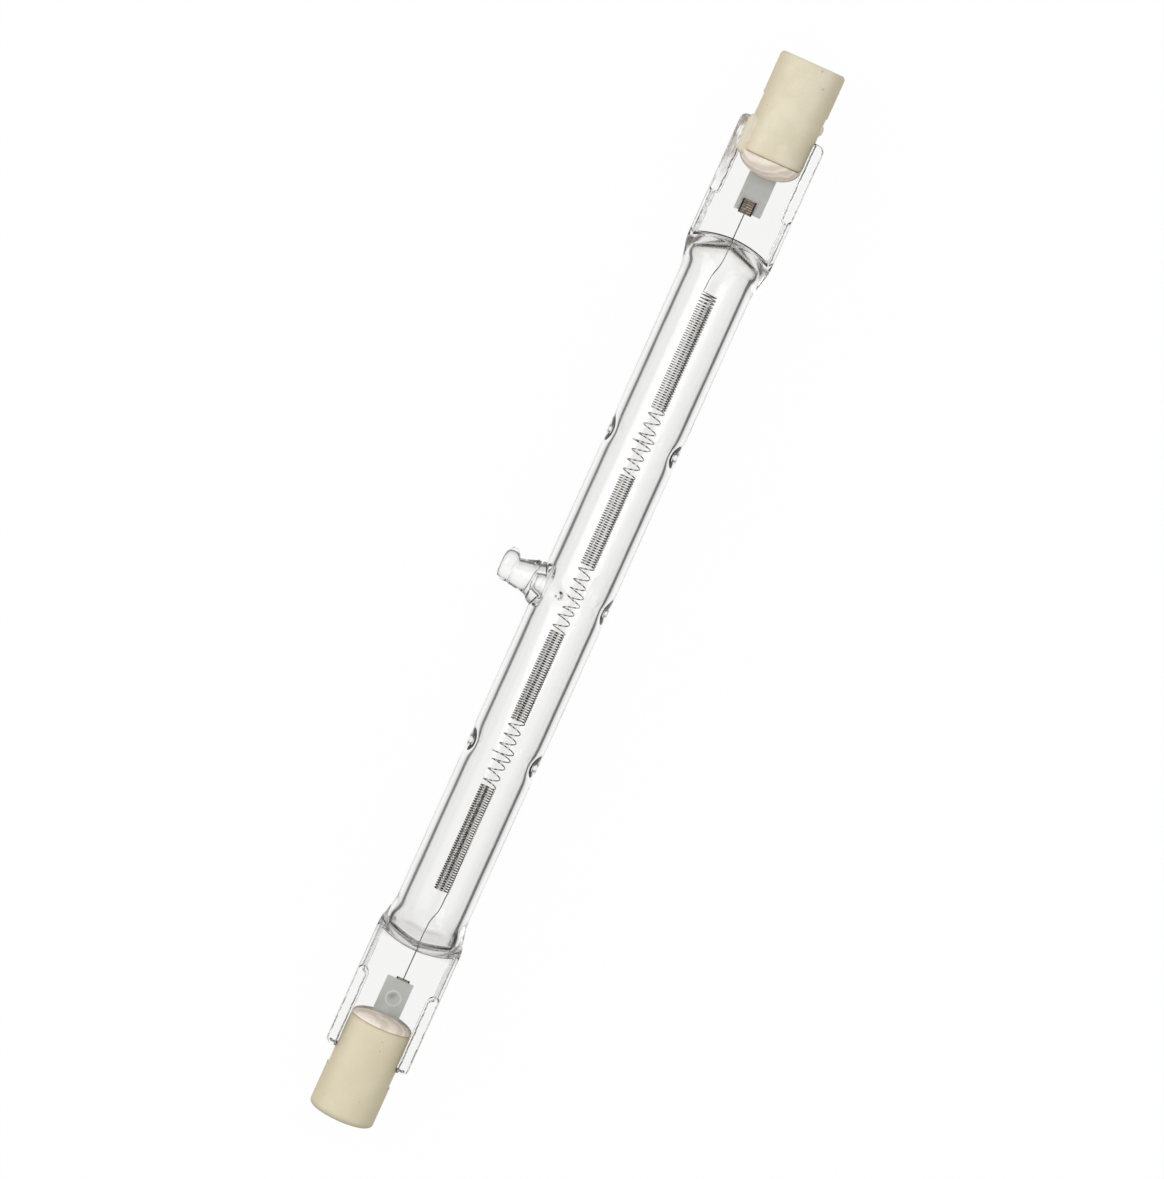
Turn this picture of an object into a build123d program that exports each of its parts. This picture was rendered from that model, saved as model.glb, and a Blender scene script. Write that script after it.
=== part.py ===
from build123d import *
import math
import os

# A linear halogen lamp with a recessed contact in a slotted ceramic cap at each end.
# It lies on the floor as it comes to rest: the tube and the exhaust tip touch the floor.
# +X runs along the lamp. Sizes are in millimetres.

# Lamp and caps
lamp_len = 117.6  # over both caps
cap_d = 7.0
cap_len = 10.6
cap_rim_r = 0.45  # rounding of the outer rim
cheek_r = 0.5  # rounding at the ends of the two cheeks
slot_w = 2.33  # slot between the cheeks, for the pinch
slot_depth = 6.0
recess_d = 3.6  # bore that guides the lampholder's contact
recess_depth = 1.7  # down to the contact face
recess_chamfer = 0.25
seat_step = 0.2  # ledge round the button at the foot of the bore
button_t = 1.2
button_clear = 0.05  # radial play of the button in its seat
button_edge_r = 0.15

# Quartz tube
tube_d = 7.8
bore_d = 6.04
shoulder_len = 5.0  # from the round tube to the flat pinch
shoulder_spread = 3.7  # the first part of it, where the tube widens to the pinch
shoulder_foot = 1.35  # half thickness where the shoulder meets the pinch
wedge_gap = 1.3  # from the end of the cavity to the flat pinch
wedge_len = 0.85  # the cavity's last stretch, which runs to a point
cavity_w = 6.6  # across the flattened end of the cavity
cavity_t = 4.6
cavity_tip_w = 0.7
cavity_tip_t = 0.5

# Pinch seals, with a thin web between two side rails
seal_w = 9.1
seal_len = 12.1
seal_root = 1.4  # how far the pinch's block reaches into the shoulder
seal_corner_r = 0.7
rail_t = 3.4
rail_w = 0.95
rail_edge_r = 0.3
root_rail_w = 0.5  # the rail is narrower near the shoulder
root_rail_len = 3.6
web_t = 1.95
web_arc = 0.8  # how far the start of the flat bulges towards the cap
press_shift = -0.3  # the quartz sits a little towards the lower end
end_gap = 2.3  # cement between the end of the pinch and the floor of the slot

# Exhaust tip at the middle of the tube
tip_top = 8.2  # from the lamp's axis to the top of the tip
tip_foot_r = 2.3
tip_foot_h = 0.8
tip_root_r = 1.7
tip_neck_r = 1.4
tip_head_len = 3.65
tip_head_w = 2.7
tip_head_t = 1.6
tip_head_shift = 0.5  # the head leans towards the upper end
tip_head_r = 0.7
tip_bore_r = 0.9
tip_bore_end_r = 0.5
tip_bore_top = 5.5

# Dimples that hold the filament up
dimple_pitch = 17.35  # along the tube
dimple_turn = 2.0  # degrees out of the pinch's plane, to the front
dimple_turn_tip = 3.0  # the same, for those on the exhaust tip's side
dimple_turn_mid = 60.0  # the one that has to clear the exhaust tip
dent_floor = 2.75  # from the axis
dent_tip_r = 0.4
dent_mouth_r = 0.75
bump_in = 1.9  # from the axis
bump_tip_r = 0.45
bump_neck = 2.6
bump_root = 3.3
bump_foot_r = 1.2

# Filament
coil_d = 1.7
wire_d = 0.14  # the wire is itself a fine coil of this diameter
coil_wall = 0.23
turn_sides = 4  # the open turns' wire is drawn with a square section
stretch_len = 7.3
stretch_pitch = 1.1
end_extra = 1.8  # the outer two coils are longer than the inner two
tail_free = 2.05  # from the coil's end to the start of the shoulder
tail_run = 1.1
tail_bend = 1.6
tail_bend_r = 1.4
tail_y = 0.2
mount_shift = -0.45  # the filament and foils sit a little further that way
overlap = 0.3  # how far a turn or tail is rooted in the coil it leaves

# Foils, sleeves and leads
foil_w = 2.9
foil_len = 7.0
foil_t = 0.05
foil_setback = 3.1  # from the start of the flat pinch
tab_len = 1.5
tab_w = 1.45
tab_t = 0.3
tab_proud = 0.2  # how far the sleeve stands out past the foil
tail_grip = 1.2  # length of tail in the sleeve
lead_d = 0.75
lead_lap = 2.6  # length of lead on the foil
lead_rise = 0.3  # from the foil's middle to the lead's axis
lead_clear = 0.15  # radial play of the lead in the cap

# Cement
cement_inset = 0.1  # below the cap's surface in the slot
lip_out = {"lower": 1.1, "upper": 1.95}  # how far the cement stands out of the cap
bead_r = 0.85  # bead beside the upper cap, in the corner between cheek and rail
bead_len = 4.2
bead_out = 0.5  # how far the bead starts before the cap's mouth
bead_proud = 0.35  # past the cap's side, towards the tip's side
bead_height = 1.25
bead_end_r = 0.8
lump_r = 0.8  # lump on the other side, past the end of the rail
lump_proud = 0.15

# Stations along the lamp, from its middle outwards
cap_end = lamp_len / 2
contact_face = cap_end - recess_depth
button_back = contact_face - button_t
cap_mouth = cap_end - cap_len
slot_floor = cap_mouth + slot_depth
seal_end = slot_floor - end_gap
seal_start = seal_end - seal_len
shoulder_start = seal_start - shoulder_len
cavity_end = seal_start - wedge_gap
cavity_corner = cavity_end - wedge_len
foil_inner = seal_start + foil_setback
foil_outer = foil_inner + foil_len

# Radii and lengths that follow
cap_r = cap_d / 2
lip_r = cap_r - cement_inset
bead_reach = cap_r + bead_proud
lump_reach = cap_r + lump_proud
tube_r = tube_d / 2
bore_r = bore_d / 2
coil_r = coil_d / 2
wire_r = wire_d / 2
lead_r = lead_d / 2
turn_r = coil_r - coil_wall / 2
seat_r = recess_d / 2 - seat_step
button_r = seat_r - button_clear
filament_len = 2 * (shoulder_start - tail_free)
coil_len = (filament_len - 3 * stretch_len - 2 * end_extra) / 4
pitch = coil_len + stretch_len
tab_start = foil_inner - tab_proud
tab_z = (foil_t + tab_t) / 2
tail_root_y = math.sqrt(turn_r**2 - tab_z**2)
UPPER = 1
LOWER = -1
ENDS = {"lower": LOWER, "upper": UPPER}

# The lamp rolls about its axis until the rounded head of the tip meets the floor.
head_reach = tip_top - tip_head_r
head_half = tip_head_w / 2 - tip_head_r
roll = math.asin((tube_r - tip_head_r) / math.hypot(head_reach, head_half)) - math.atan2(
    head_half, head_reach
)
tip_side = head_reach * math.cos(roll) + head_half * math.sin(roll) + tip_head_r
rail_side = (
    (seal_w / 2 - rail_edge_r) * math.cos(roll)
    + (rail_t / 2 - rail_edge_r) * math.sin(roll)
    + rail_edge_r
)
back_side = max(rail_side, tube_r)
centre = Vector(0, (back_side - tip_side) / 2, tube_r)
along = Vector(1, 0, 0)
to_tip = Vector(0, math.cos(roll), -math.sin(roll))
face_up = Vector(0, math.sin(roll), math.cos(roll))
lamp_axis = Axis(centre, along)


def across(end, distance):
    """The plane across the lamp at a distance from its middle, facing outwards, with x to the tip."""
    return Plane(origin=centre + along * (end * distance), x_dir=to_tip, z_dir=along * end)


def flat(end, height=0.0):
    """The pinch's own plane at one end, with x outwards and y to the tip's side."""
    normal = face_up * end
    return Plane(origin=centre + normal * height, x_dir=along * end, z_dir=normal)


def radial(station, turn, side):
    """A plane through a dimple, with x outwards along the dimple's own axis and y along the lamp."""
    angle = math.radians(turn)
    out = to_tip * (side * math.cos(angle)) + face_up * math.sin(angle)
    return Plane(origin=centre + along * station, x_dir=out, z_dir=out.cross(along))


def outwards(end):
    return Axis(centre, along * end)


def mounted(end, distance):
    """The distance from the lamp's middle of what is fixed to the filament."""
    return distance + end * mount_shift


def pressed(end, distance):
    """The distance from the lamp's middle of what is formed in the quartz."""
    return distance + end * press_shift


# A pair of dimples at each station. The middle pair's first one goes beside the exhaust tip.
dimple_stations = [press_shift - dimple_pitch, press_shift, press_shift + dimple_pitch]
turns_out = [dimple_turn_tip, dimple_turn_mid, dimple_turn_tip]
dimples = [(station, turn, 1) for station, turn in zip(dimple_stations, turns_out)]
dimples += [(station, dimple_turn, -1) for station in dimple_stations]
stations = [mount_shift - pitch, mount_shift, mount_shift + pitch]

# Filament: four close-wound coils, drawn as sleeves, with three open stretches of turns between
# them and a tail at each end
coil_starts = [mount_shift - filament_len / 2] + [x + stretch_len / 2 for x in stations]
coil_ends = [x - stretch_len / 2 for x in stations] + [mount_shift + filament_len / 2]
with BuildPart() as filament:
    for start, stop in zip(coil_starts, coil_ends):
        with BuildSketch(across(UPPER, start)):
            Circle(coil_r)
            Circle(coil_r - coil_wall, mode=Mode.SUBTRACT)
        extrude(amount=stop - start)
    for station in stations:
        root = across(UPPER, station - stretch_len / 2 - overlap)
        with BuildLine() as turns:
            Helix(
                pitch=stretch_pitch,
                height=stretch_len + 2 * overlap,
                radius=turn_r,
                center=root.origin,
                direction=root.z_dir,
            )
        with BuildSketch(Plane(turns.line ^ 0)):
            RegularPolygon(wire_r, turn_sides)
        sweep(path=turns.line, is_frenet=True)
    for end in ENDS.values():
        coil_end = mounted(end, filament_len / 2)
        with BuildLine(flat(end, tab_z)) as tail:
            FilletPolyline(
                (coil_end - overlap, end * tail_root_y),
                (coil_end + tail_run, end * tail_root_y),
                (coil_end + tail_run + tail_bend, end * tail_y),
                (mounted(end, tab_start) + tail_grip, end * tail_y),
                radius=tail_bend_r,
            )
        with BuildSketch(Plane(tail.line ^ 0)):
            Circle(wire_r)
        sweep(path=tail.line)


def seal_foil(end):
    with BuildPart() as foil:
        with BuildSketch(across(end, mounted(end, foil_inner))):
            Rectangle(foil_w, foil_t)
        extrude(amount=foil_len)
    return foil


def weld_tab(end):
    """The sleeve on the foil's face, with the tail's end in it."""
    with BuildPart() as tab:
        with BuildSketch(across(end, mounted(end, tab_start))):
            with Locations((end * tail_y, tab_z)):
                Rectangle(tab_w, tab_t)
        extrude(amount=tab_len)
        with BuildSketch(across(end, mounted(end, tab_start))):
            with Locations((end * tail_y, tab_z)):
                Circle(wire_r)
        extrude(amount=tail_grip, mode=Mode.SUBTRACT)
    return tab


def outer_lead(end):
    """A round rod on the other face of the foil, flattened where it is welded."""
    lead_start = mounted(end, foil_outer) - lead_lap
    with BuildPart() as lead:
        with BuildSketch(across(end, lead_start)):
            with Locations((0, -lead_rise)):
                Circle(lead_r)
        extrude(amount=button_back - lead_start)
        with BuildSketch(across(end, lead_start)):
            with Locations((0, -foil_t / 2)):
                Rectangle(lead_d, lead_d, align=(Align.CENTER, Align.MIN))
        extrude(amount=lead_lap, mode=Mode.SUBTRACT)
    return lead


def contact_button(end):
    with BuildPart() as button:
        with BuildSketch(across(end, button_back)):
            Circle(button_r)
        extrude(amount=button_t)
        fillet(button.edges().sort_by(outwards(end))[-1], button_edge_r)
    return button


def ceramic_cap(end):
    with BuildPart() as cap:
        with BuildSketch(across(end, cap_mouth)):
            Circle(cap_r)
        extrude(amount=cap_len)
        rims = cap.edges().filter_by(GeomType.CIRCLE).sort_by(outwards(end))
        fillet(rims[-1], cap_rim_r)
        fillet(rims[0], cheek_r)
        with BuildSketch(across(end, cap_mouth)):
            Rectangle(cap_d, slot_w)
        extrude(amount=slot_depth, mode=Mode.SUBTRACT)
        with BuildSketch(across(end, cap_end)):
            Circle(recess_d / 2)
        extrude(amount=-recess_depth, mode=Mode.SUBTRACT)
        with BuildSketch(across(end, contact_face)):
            Circle(seat_r)
        extrude(amount=-button_t, mode=Mode.SUBTRACT)
        with BuildSketch(across(end, slot_floor)):
            with Locations((0, -lead_rise)):
                Circle(lead_r + lead_clear)
        extrude(amount=button_back - slot_floor, mode=Mode.SUBTRACT)
        mouths = cap.edges().filter_by(GeomType.CIRCLE).group_by(outwards(end))[-1]
        chamfer(mouths.sort_by(SortBy.RADIUS)[0], recess_chamfer)
    return cap


# Quartz envelope: its outside, then its hollow with the dimples left standing, then what is sealed in
shoulder_stops = [0.0, 0.2, 0.4, 0.6, 0.85, 1.0]
cavity_stops = [0.0, 0.5, 1.0]
cavity_run = cavity_corner - shoulder_start
tip_centre = centre + along * press_shift
tip_plane = Plane(origin=tip_centre, x_dir=along, z_dir=face_up)
tip_axis = Axis(tip_centre, to_tip)


def shoulder_size(part):
    """Half width and half thickness of the shoulder, from the round tube (0) to the pinch (1)."""
    spread = min(part * shoulder_len / shoulder_spread, 1)
    half_w = tube_r + (seal_w / 2 - tube_r) * spread**2 * (3 - 2 * spread)
    half_t = shoulder_foot + (tube_r - shoulder_foot) * math.sqrt(1 - part**2)
    return half_w, half_t


def cavity_size(part):
    """Half width and half thickness of the cavity, from the bore (0) to the corners of its end (1)."""
    half_w = bore_r + (cavity_w / 2 - bore_r) * math.sin(part * math.pi / 2)
    half_t = cavity_t / 2 + (bore_r - cavity_t / 2) * math.cos(part * math.pi / 2)
    return half_w, half_t


def pinch_blank(end):
    """The pinch before its faces are pressed in: a bar with rounded edges and rounded outer corners."""
    blank_start = pressed(end, seal_start) - seal_root
    blank_end = pressed(end, seal_end)
    with BuildPart() as blank:
        with BuildSketch(across(end, blank_start)):
            RectangleRounded(seal_w, rail_t, rail_edge_r)
        extrude(amount=seal_len + seal_root)
        with BuildSketch(flat(end)):
            with BuildLine():
                Polyline(
                    (blank_start, -seal_w / 2),
                    (blank_end, -seal_w / 2),
                    (blank_end, seal_w / 2),
                    (blank_start, seal_w / 2),
                    close=True,
                )
            outline = make_face()
            fillet(outline.vertices().sort_by(outwards(end))[-2:], seal_corner_r)
        extrude(amount=rail_t, both=True, mode=Mode.INTERSECT)
    return blank


def jaw(end, face):
    """What one jaw presses out of the pinch, from an arc at the shoulder to the open end."""
    root_y = seal_w / 2 - root_rail_w
    rail_y = seal_w / 2 - rail_w
    arc_x = pressed(end, seal_start)
    root_x = arc_x - web_arc
    step_x = arc_x + root_rail_len
    open_x = pressed(end, seal_end) + rail_w
    slope = rail_w - root_rail_w
    with BuildPart() as cut:
        with BuildSketch(flat(end, face * web_t / 2)):
            with BuildLine():
                ThreePointArc((root_x, -root_y), (arc_x, 0), (root_x, root_y))
                Polyline(
                    (root_x, root_y),
                    (step_x, root_y),
                    (step_x + slope, rail_y),
                    (open_x, rail_y),
                    (open_x, -rail_y),
                    (step_x + slope, -rail_y),
                    (step_x, -root_y),
                    (root_x, -root_y),
                )
            make_face()
        extrude(amount=face * tube_r)
    return cut


def tip_head():
    """The melted end of the exhaust tip."""
    head_foot = tip_centre + to_tip * (tip_top - tip_head_t) + along * tip_head_shift
    with BuildPart() as head:
        with BuildSketch(Plane(origin=head_foot, x_dir=along, z_dir=to_tip)):
            SlotOverall(tip_head_len, tip_head_w)
        extrude(amount=tip_head_t)
        rims = head.edges().group_by(Axis(centre, to_tip))
        fillet(rims[0] + rims[-1], tip_head_r)
    return head


def bump(station, turn, side):
    """The blunt cone that a dimple makes inside the tube."""
    plane = radial(station, turn, side)
    with BuildPart() as cone:
        with BuildSketch(plane):
            with BuildLine():
                Polyline(
                    (bump_in, 0),
                    (bump_in, bump_tip_r),
                    (bump_neck, bump_tip_r),
                    (bump_root, bump_foot_r),
                    (bump_root, 0),
                    close=True,
                )
            make_face()
        revolve(axis=Axis(plane.origin, plane.x_dir))
    return cone


def dent(station, turn, side):
    """The hollow that a dimple leaves outside the tube."""
    plane = radial(station, turn, side)
    with BuildPart() as cone:
        with BuildSketch(plane):
            with BuildLine():
                Polyline(
                    (dent_floor, 0),
                    (dent_floor, dent_tip_r),
                    (tube_r, dent_mouth_r),
                    (tube_r + dent_tip_r, dent_mouth_r),
                    (tube_r + dent_tip_r, 0),
                    close=True,
                )
            make_face()
        revolve(axis=Axis(plane.origin, plane.x_dir))
    return cone


def tail_channel(end):
    """Where the quartz has closed on the filament's tail."""
    channel_start = pressed(end, cavity_corner)
    with BuildPart() as channel:
        with BuildSketch(across(end, channel_start)):
            with Locations((end * tail_y, tab_z)):
                Circle(wire_r)
        extrude(amount=mounted(end, tab_start) + tail_grip - channel_start)
    return channel


foils = {name: seal_foil(end) for name, end in ENDS.items()}
tabs = {name: weld_tab(end) for name, end in ENDS.items()}
leads = {name: outer_lead(end) for name, end in ENDS.items()}
caps = {name: ceramic_cap(end) for name, end in ENDS.items()}
buttons = {name: contact_button(end) for name, end in ENDS.items()}
channels = {name: tail_channel(end) for name, end in ENDS.items()}
blanks = [pinch_blank(end) for end in ENDS.values()]
jaws = [jaw(end, face) for end in ENDS.values() for face in (-1, 1)]
bumps = [bump(*place) for place in dimples]
dents = [dent(*place) for place in dimples]
head = tip_head()
sealed = [*foils.values(), *tabs.values(), *leads.values(), *channels.values()]

with BuildPart() as outside:
    with BuildSketch(across(UPPER, press_shift - shoulder_start)):
        Circle(tube_r)
    extrude(amount=2 * shoulder_start)
    for end in ENDS.values():
        for stop in shoulder_stops:
            with BuildSketch(across(end, pressed(end, shoulder_start + stop * shoulder_len))):
                Ellipse(*shoulder_size(stop))
        loft()
    add([blank.part for blank in blanks])
    add([cut.part for cut in jaws], mode=Mode.SUBTRACT)
    # The exhaust tip's flared stub
    with BuildSketch(tip_plane):
        with BuildLine():
            Polyline(
                (0, 0),
                (tip_foot_r, 0),
                (tip_foot_r, math.sqrt(tube_r**2 - tip_foot_r**2)),
                (tip_root_r, tube_r + tip_foot_h),
                (tip_neck_r, tip_top - tip_head_t / 2),
                (0, tip_top - tip_head_t / 2),
                close=True,
            )
        make_face()
    revolve(axis=tip_axis)
    add(head.part)

with BuildPart() as hollow:
    with BuildSketch(across(UPPER, press_shift - shoulder_start)):
        Circle(bore_r)
    extrude(amount=2 * shoulder_start)
    for end in ENDS.values():
        for stop in cavity_stops:
            with BuildSketch(across(end, pressed(end, shoulder_start + stop * cavity_run))):
                Ellipse(*cavity_size(stop))
        loft()
        with BuildSketch(across(end, pressed(end, cavity_corner))):
            Ellipse(*cavity_size(1))
        with BuildSketch(across(end, pressed(end, cavity_end))):
            Ellipse(cavity_tip_w / 2, cavity_tip_t / 2)
        loft()
    with BuildSketch(tip_plane):
        with BuildLine():
            Polyline(
                (0, 0),
                (tip_bore_r, 0),
                (tip_bore_r, tube_r),
                (tip_bore_end_r, tip_bore_top),
                (0, tip_bore_top),
                close=True,
            )
        make_face()
    revolve(axis=tip_axis)
    add([cone.part for cone in bumps], mode=Mode.SUBTRACT)

with BuildPart() as envelope:
    add(outside.part)
    add([hollow.part, *[cone.part for cone in dents]], mode=Mode.SUBTRACT)
    add([piece.part for piece in sealed], mode=Mode.SUBTRACT)


def bead(name, end):
    """A bead of cement in the corner between a cheek and a rail."""
    with BuildPart() as strip:
        with BuildSketch(across(end, cap_mouth - bead_out)):
            with Locations((bead_reach - bead_r, bead_height)):
                Circle(bead_r)
        extrude(amount=bead_len)
        fillet(strip.edges().filter_by(GeomType.CIRCLE), bead_end_r)
        add(caps[name].part, mode=Mode.SUBTRACT)
        add(envelope.part, mode=Mode.SUBTRACT)
    return strip


def cement(name, end):
    """The cement in the slot, round the web and the lead, and the lip that stands out of the cap's mouth."""
    web_end = pressed(end, seal_end)
    strips = [bead(name, end).part] if end == UPPER else []
    with BuildPart() as filling:
        with BuildSketch(across(end, cap_mouth)):
            Circle(cap_r - cement_inset)
            Rectangle(cap_d, slot_w, mode=Mode.INTERSECT)
        extrude(amount=slot_depth)
        with BuildSketch(flat(end)):
            with Locations((cap_mouth, 0)):
                Ellipse(lip_out[name], lip_r)
                Rectangle(lip_out[name], cap_d, align=(Align.MIN, Align.CENTER), mode=Mode.SUBTRACT)
                Rectangle(2 * lip_out[name], cap_d, align=(Align.CENTER, Align.MAX), mode=Mode.SUBTRACT)
        revolve(axis=lamp_axis)
        with BuildSketch(across(end, cap_mouth - lip_out[name])):
            Rectangle(cap_d, web_t)
        extrude(amount=web_end - cap_mouth + lip_out[name], mode=Mode.SUBTRACT)
        with BuildSketch(across(end, web_end)):
            with Locations((0, -lead_rise)):
                Circle(lead_r)
        extrude(amount=slot_floor - web_end, mode=Mode.SUBTRACT)
        if end == UPPER:
            with Locations(across(end, (slot_floor + web_end) / 2).origin - to_tip * (lump_reach - lump_r)):
                Sphere(lump_r)
        add(strips)
    return filling


cements = {name: cement(name, end) for name, end in ENDS.items()}

pieces = {"quartz_envelope": envelope, "filament": filament}
for name in ENDS:
    pieces[f"foil_{name}"] = foils[name]
    pieces[f"weld_tab_{name}"] = tabs[name]
    pieces[f"outer_lead_{name}"] = leads[name]
    pieces[f"contact_button_{name}"] = buttons[name]
    pieces[f"ceramic_cap_{name}"] = caps[name]
    pieces[f"cement_{name}"] = cements[name]

os.makedirs("parts", exist_ok=True)
for name, piece in pieces.items():
    piece.part.label = name
    export_step(piece.part, f"parts/{name}.step")
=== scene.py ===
# %% [markdown]
# # A double-ended halogen lamp, dressed in Blender
# The lamp is a quartz tube with a coiled filament. Each end is pinched flat round a thin metal foil
# and sits in a slotted ceramic cap. The solid model gives every piece its place and size, and this
# file gives the lamp its looks: the lens-like glass, the real turns of the filament, and finishes.
# The first cell loads the solid model as a fixed frame.

import math

import bmesh
import bpy
import numpy as np
from mathutils import Matrix, Vector


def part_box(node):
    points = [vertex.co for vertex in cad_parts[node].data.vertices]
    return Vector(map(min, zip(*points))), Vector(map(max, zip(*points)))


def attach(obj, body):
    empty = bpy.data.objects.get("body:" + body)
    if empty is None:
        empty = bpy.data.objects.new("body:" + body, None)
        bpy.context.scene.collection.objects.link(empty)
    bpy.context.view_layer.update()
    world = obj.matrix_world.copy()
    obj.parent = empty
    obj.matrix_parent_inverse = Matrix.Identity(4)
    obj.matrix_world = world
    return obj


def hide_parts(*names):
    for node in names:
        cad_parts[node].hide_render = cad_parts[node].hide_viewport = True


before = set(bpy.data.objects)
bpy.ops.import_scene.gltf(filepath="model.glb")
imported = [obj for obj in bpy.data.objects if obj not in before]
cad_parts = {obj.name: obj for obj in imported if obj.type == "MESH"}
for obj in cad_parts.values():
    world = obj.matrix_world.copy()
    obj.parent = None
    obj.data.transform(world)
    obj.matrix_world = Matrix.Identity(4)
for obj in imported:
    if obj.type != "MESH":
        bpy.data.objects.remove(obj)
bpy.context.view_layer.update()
print("nodes:", ", ".join(sorted(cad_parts)))

# %% [markdown]
# The lamp lies on its tube and on its exhaust tip, so it is rolled a little about its own axis. It
# could be dressed in the room's axes, but every shape is simpler in the lamp's own: x along it, y to
# the exhaust tip, z out of the flat of the pinches. One function takes those millimetres to the room.

# %% The lamp's own axes
MM = 0.001
TUBE_R = 3.898  # a hair under the solid tube's 3.9, so that the skin stays inside it
BORE_R = 3.02
PRESS_SHIFT = -0.3  # the quartz sits this far towards the lower end
TIP_TOP = 8.2  # from the lamp's axis to the top of the exhaust tip
TIP_HEAD_R = 0.7  # the rounding of the tip's head
TIP_HEAD_HALF = 1.35  # half the head's width
TAIL_Y = 0.2  # how far the filament's tails run beside the axis

low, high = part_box("filament")
axis_y = (low[1] + high[1]) / 2 / MM
axis_z = (low[2] + high[2]) / 2 / MM
mount_x = (low[0] + high[0]) / 2 / MM
head_reach = TIP_TOP - TIP_HEAD_R
head_half = TIP_HEAD_HALF - TIP_HEAD_R
lift = math.asin((TUBE_R - TIP_HEAD_R) / math.hypot(head_reach, head_half))
roll = lift - math.atan2(head_half, head_reach)
along = Vector((1, 0, 0))
to_tip = Vector((0, math.cos(roll), -math.sin(roll)))
face_up = Vector((0, math.sin(roll), math.cos(roll)))
lamp_axes = np.array([along, to_tip, face_up])
lamp_centre = Vector((0, axis_y, axis_z))


def to_room(points):
    """Points in the lamp's own millimetres become points of the room in metres."""
    return (np.asarray(points, float) @ lamp_axes + np.array(lamp_centre)) * MM


print(f"roll {math.degrees(roll):.2f} degrees, filament's middle at {mount_x:.2f} mm")

# %% [markdown]
# Shader maths reads best as plain arithmetic. Nodes could be added one by one, with a link for each
# wire, but a formula of ten terms then takes forty lines. So one small class wraps a socket and turns
# the operators into Math nodes, and one method adds any other node with its settings and inputs.

# %% Shader maths as expressions


class Wire:
    """A socket in a node tree that can be used in a formula."""

    def __init__(self, tree, socket):
        self.tree = tree
        self.socket = socket

    def node(self, kind, settings=None, **inputs):
        """Adds a node, sets its settings, then its inputs by name, and returns a picker of its outputs."""
        added = self.tree.nodes.new(kind)
        for name, value in (settings or {}).items():
            setattr(added, name, value)
        for name, value in inputs.items():
            key = name.replace("_", " ")
            numbered = key[0] == "i" and key[1:].isdigit()
            socket = added.inputs[int(key[1:]) if numbered else key]
            if isinstance(value, Wire):
                self.tree.links.new(value.socket, socket)
            else:
                socket.default_value = value
        return lambda name=0: Wire(self.tree, added.outputs[name])

    def math(self, operation, other=0.0):
        return self.node("ShaderNodeMath", {"operation": operation}, i0=self, i1=other)()

    def __add__(self, other):
        return self.math("ADD", other)

    __radd__ = __add__

    def __mul__(self, other):
        return self.math("MULTIPLY", other)

    __rmul__ = __mul__

    def __sub__(self, other):
        return self.math("SUBTRACT", other)

    def __rsub__(self, other):
        return self.node("ShaderNodeMath", {"operation": "SUBTRACT"}, i0=other, i1=self)()

    def __truediv__(self, other):
        return self.math("DIVIDE", other)

    def __pow__(self, other):
        return self.math("POWER", other)

    def __abs__(self):
        return self.math("ABSOLUTE")

    def most(self, other):
        return self.math("MAXIMUM", other)

    def step(self, start, stop):
        """0 up to start, 1 from stop on, and smooth between them."""
        kind = {"interpolation_type": "SMOOTHSTEP"}
        return self.node("ShaderNodeMapRange", kind, Value=self, From_Min=start, From_Max=stop)()

    def along_axis(self, direction):
        """The part of a vector that lies along a direction."""
        kind = {"operation": "DOT_PRODUCT"}
        return self.node("ShaderNodeVectorMath", kind, i0=self, i1=tuple(direction))("Value")


print("formulas can be written on sockets")

# %% [markdown]
# Every finish below starts in the same way: a Principled shader, whose colour changes over the piece,
# and the piece's own Object coordinates to place that change. Generated coordinates would stretch with
# each piece's size, so a grain would be coarser on a longer piece. These helpers keep the finishes
# short, and take their sizes in millimetres.

# %% Helpers for finishes


def mix_colour(mask, first, second):
    """The first colour where the mask is 0 and the second where it is 1."""
    kind = {"data_type": "RGBA"}
    return mask.node("ShaderNodeMix", kind, i0=mask, i6=first, i7=second)(2)


def shade(red, green, blue):
    """A colour as it reads in a picture, 0 to 255, as the light that it stands for."""
    return tuple((channel / 255) ** 2.2 for channel in (red, green, blue)) + (1.0,)


def new_finish(name):
    """A material with an empty Principled shader: returns it, its shader and its object coordinates."""
    finish = bpy.data.materials.new(name)
    finish.use_nodes = True
    tree = finish.node_tree
    shader = tree.nodes["Principled BSDF"]
    places = Wire(tree, tree.nodes.new("ShaderNodeTexCoord").outputs["Object"])
    return finish, shader, places


def feed(shader, **inputs):
    """Sets or links the inputs of a shader by name."""
    for name, value in inputs.items():
        socket = shader.inputs[name.replace("_", " ")]
        if isinstance(value, Wire):
            value.tree.links.new(value.socket, socket)
        else:
            socket.default_value = value


def in_lamp(places, axis):
    """How far the shaded point lies along one of the lamp's own axes, in millimetres from its middle."""
    return places.along_axis(axis) / MM - lamp_centre.dot(axis)


def drawn_out(places, squeeze):
    """Coordinates for a noise whose blotches are long in the lamp's direction."""
    return places.node("ShaderNodeMapping", None, Vector=places, Scale=(squeeze, 1.0, 1.0))()


def noise(places, size_mm, detail=2.0, rough=0.5):
    """Soft random values from 0 to 1, with blotches of about this size."""
    values = {"Scale": 1 / (size_mm * MM), "Detail": detail, "Roughness": rough}
    return places.node("ShaderNodeTexNoise", None, Vector=places, **values)("Fac")


def bump(height, distance_mm, strength=1.0):
    """A normal that follows a height of up to this distance."""
    values = {"Distance": distance_mm * MM, "Strength": strength}
    return height.node("ShaderNodeBump", None, Height=height, **values)("Normal")


print("helpers for finishes are ready")

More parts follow.
